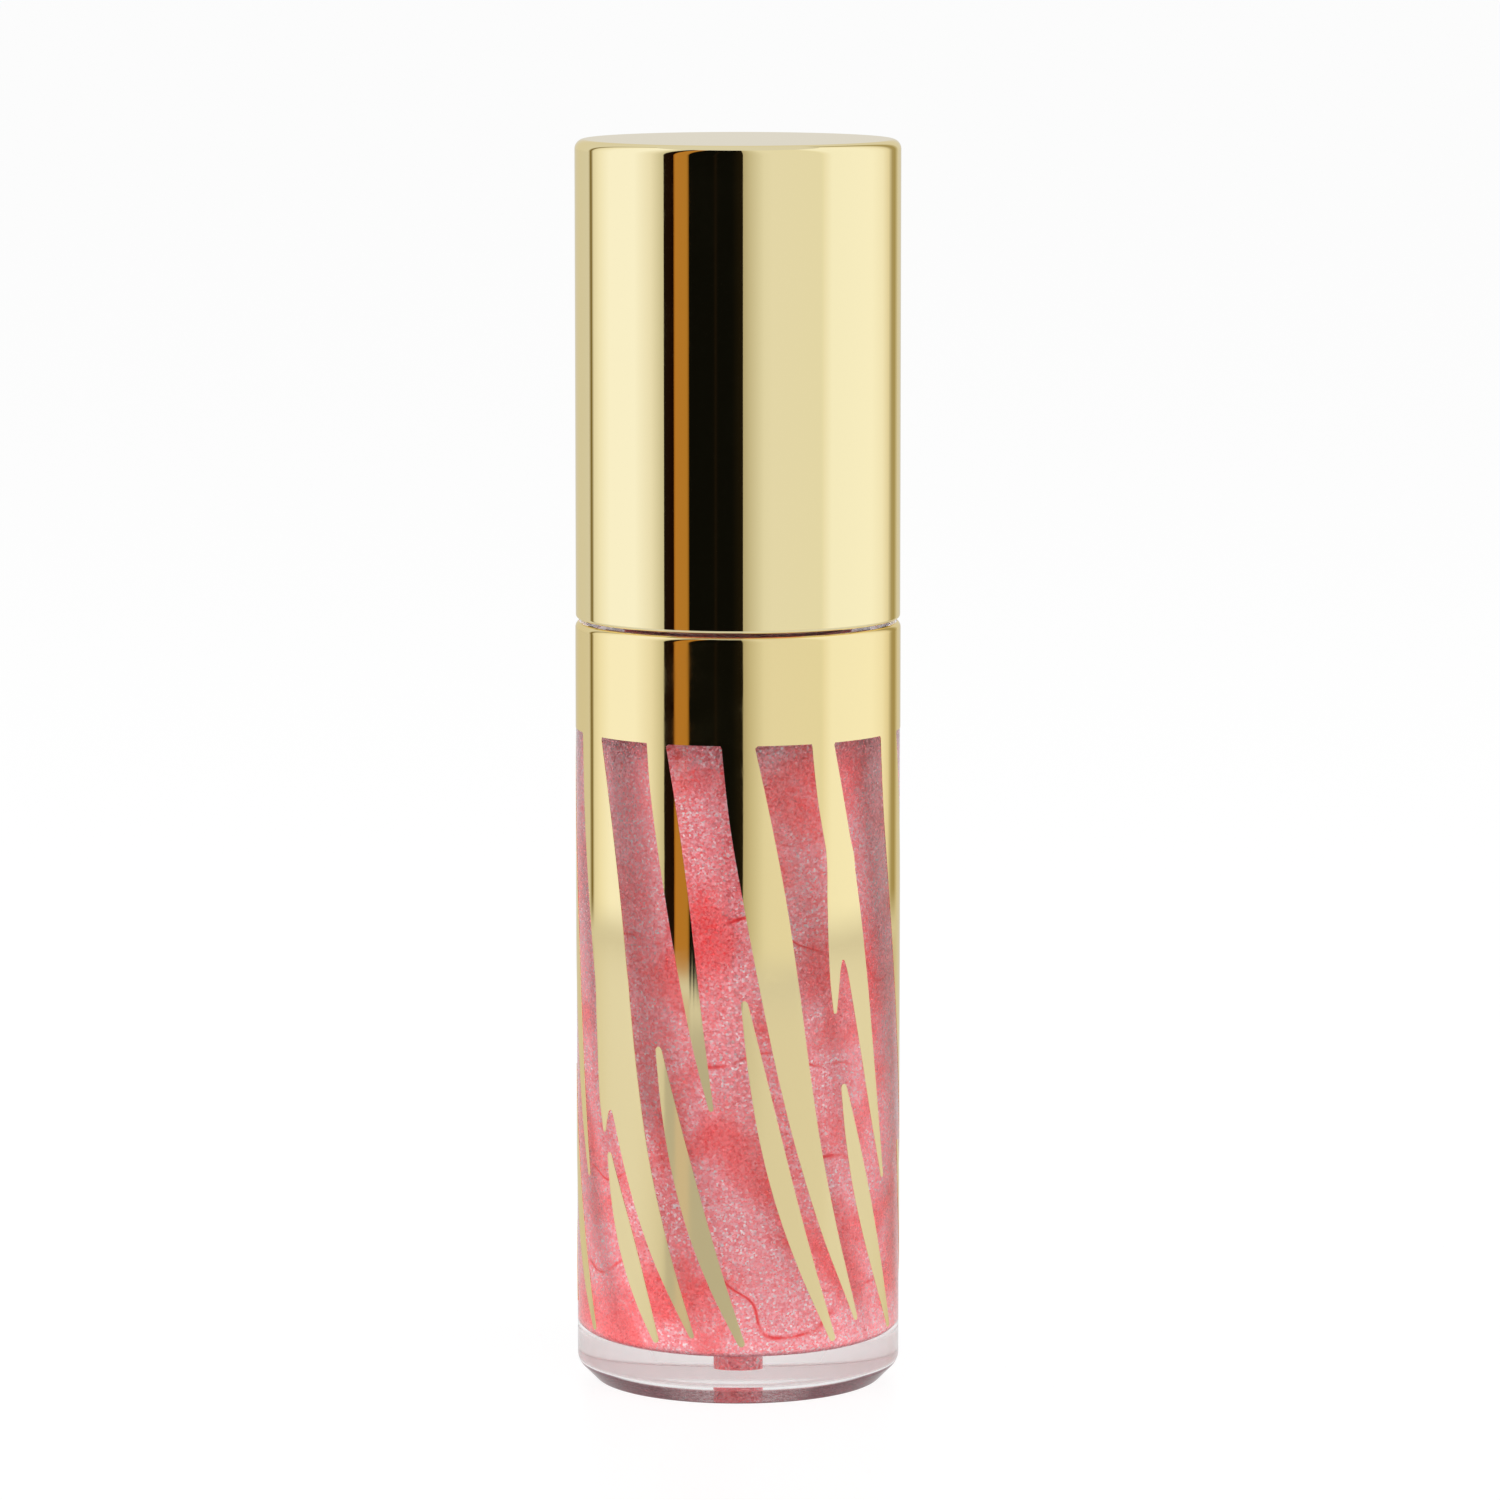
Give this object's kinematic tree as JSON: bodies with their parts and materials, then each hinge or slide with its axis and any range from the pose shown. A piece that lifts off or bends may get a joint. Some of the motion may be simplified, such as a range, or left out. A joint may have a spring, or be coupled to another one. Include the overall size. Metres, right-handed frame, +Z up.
{
  "type": "lip gloss tube",
  "caption": "Clear cylindrical lip gloss tube with a gold foil band, a wiper in its neck and a gold screw cap that carries the wand.",
  "frame": {"origin": "centre of the flat base, on the tube's axis", "axes": "+Z up the tube's axis towards the cap; X and Y are alike, and +Y points away from the side whose foil print is the front"},
  "size_m": [0.02, 0.02, 0.077],
  "materials": {
    "clear_plastic": "clear, polished",
    "gloss": "pink red gel with fine shimmer, wet",
    "gold_foil": "hot-stamped gold foil, mirror",
    "gold_cap": "bright anodised gold, mirror",
    "translucent_plastic": "natural polyethylene, satin",
    "washer_foam": "soft white polyethylene foam",
    "steel": "plain turned steel",
    "pad_foam": "grey closed-cell foam",
    "liner_plastic": "natural polypropylene, satin",
    "stem_plastic": "natural acetal, satin",
    "core_plastic": "soft moulded nylon",
    "flock": "short flocked fibres, wet with gloss"
  },
  "bodies": {
    "tube": {"bottle": "clear_plastic", "gloss_fill": "gloss", "foil_band": "gold_foil", "wiper": "translucent_plastic"},
    "washer": {"sealing_washer": "washer_foam"},
    "weight": {"cap_weight": "steel"},
    "cap": {"cap_shell": "gold_cap", "foam_pad": "pad_foam", "inner_cap": "liner_plastic", "wand_stem": "stem_plastic", "applicator_core": "core_plastic", "applicator_flock": "flock"}
  },
  "joints": [
    {"name": "cap_lift", "type": "slide", "parent": "tube", "child": "washer", "axis": [0, 0, 1], "range_m": [0, 0.06]},
    {"name": "cap_rise", "type": "slide", "parent": "washer", "child": "weight", "axis": [0, 0, 1], "range_m": [0, 0.00376]},
    {"name": "cap_unscrew", "type": "hinge", "parent": "weight", "child": "cap", "pos_m": [0, 0, 0.0615], "axis": [0, 0, 1], "range_deg": [0, 450]}
  ],
  "couplings": [
    {"joint": "cap_rise", "follows": "cap_unscrew", "m_per_rad": 0.00047746}
  ]
}
